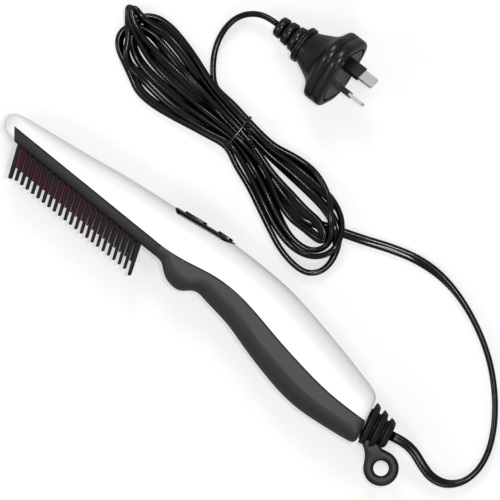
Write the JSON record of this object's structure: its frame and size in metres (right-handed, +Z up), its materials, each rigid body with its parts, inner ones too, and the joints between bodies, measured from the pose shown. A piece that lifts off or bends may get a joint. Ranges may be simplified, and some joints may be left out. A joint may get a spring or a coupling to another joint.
{
  "type": "hot comb",
  "caption": "Corded hot comb on its side: heated comb between rows of raked teeth, button strip on the spine, swivelling boot with hanging ring, flat cord tied in a hank, and plug.",
  "frame": {"origin": "under the middle of the device's box, on the surface that it lies on, with the cord, hank, tie and plug left out", "axes": "+X from the nose to the cord boot, +Y from the teeth to the spine with the buttons, +Z up"},
  "size_m": [0.3098, 0.1762, 0.0403],
  "materials": {
    "white_abs": "satin moulded ABS",
    "charcoal_abs": "satin moulded ABS",
    "black_resin": "moulded heat resistant resin",
    "red_coating": "baked coating on aluminium",
    "gloss_black": "polished moulded ABS",
    "soft_black": "satin soft PVC",
    "cord_pvc": "glossy extruded PVC",
    "plug_pvc": "satin moulded PVC",
    "blade_metal": "nickel plated brass",
    "sleeve_black": "moulded insulation",
    "tie_black": "plastic covered wire",
    "zinc_steel": "zinc plated",
    "spring_steel": "rolled",
    "heater_ceramic": "fired and metallised",
    "soft_aluminium": "rolled",
    "polyimide": "film",
    "glass_bead": "sealed bead",
    "wire_red": "silicone sleeve",
    "wire_white": "thin insulated wire",
    "wire_brown": "insulated wire",
    "switch_black": "moulded",
    "plunger_white": "moulded",
    "led_epoxy": "cast epoxy",
    "clear_guide": "clear acrylic",
    "laminate": "glass fibre laminate",
    "film_box": "potted box",
    "black_epoxy": "moulded epoxy",
    "nylon": "moulded nylon",
    "contact_brass": "stamped and turned"
  },
  "bodies": {
    "handle": {"top_shell": "white_abs", "bottom_shell": "charcoal_abs", "comb_guard": "black_resin", "case_screws": "zinc_steel", "heater_comb": "red_coating", "ptc_elements": "heater_ceramic", "electrode_strip": "soft_aluminium", "insulation_film": "polyimide", "heater_clamp": "spring_steel", "thermal_fuse": "soft_aluminium", "temperature_sensor": "glass_bead", "heater_leads": "wire_red", "sensor_leads": "wire_white", "mains_leads": "wire_brown", "control_panel": "gloss_black", "power_switch": "switch_black", "temperature_switch": "switch_black", "status_led": "led_epoxy", "led_lens": "clear_guide", "circuit_board": "laminate", "board_screws": "zinc_steel", "dropper_capacitor": "film_box", "smoothing_capacitor": "soft_aluminium", "triac": "black_epoxy", "control_chip": "black_epoxy", "swivel_socket": "nylon", "live_contact": "contact_brass", "neutral_contact": "contact_brass", "power_cord": "cord_pvc", "cord_hank": "cord_pvc", "cord_tail": "cord_pvc", "cord_tie": "tie_black", "plug_body": "plug_pvc", "plug_blades": "blade_metal", "blade_sleeves": "sleeve_black"},
    "power_button_body": {"power_button": "gloss_black", "power_plunger": "plunger_white"},
    "temperature_button_body": {"temperature_button": "gloss_black", "temperature_plunger": "plunger_white"},
    "boot_body": {"cord_boot": "soft_black", "swivel_hub": "nylon", "contact_pin": "contact_brass", "contact_ring": "contact_brass"}
  },
  "joints": [
    {"name": "power_press", "type": "slide", "parent": "handle", "child": "power_button_body", "axis": [0.1253, -0.9921, 0], "range_m": [0, 0.0006], "stiffness_N_per_m": 400},
    {"name": "temperature_press", "type": "slide", "parent": "handle", "child": "temperature_button_body", "axis": [0.1253, -0.9921, 0], "range_m": [0, 0.0006], "stiffness_N_per_m": 400},
    {"name": "boot_swivel", "type": "hinge", "parent": "handle", "child": "boot_body", "pos_m": [0.10669, -0.00426, 0.01345], "axis": [0.9724, 0.2334, 0], "continuous": true}
  ]
}
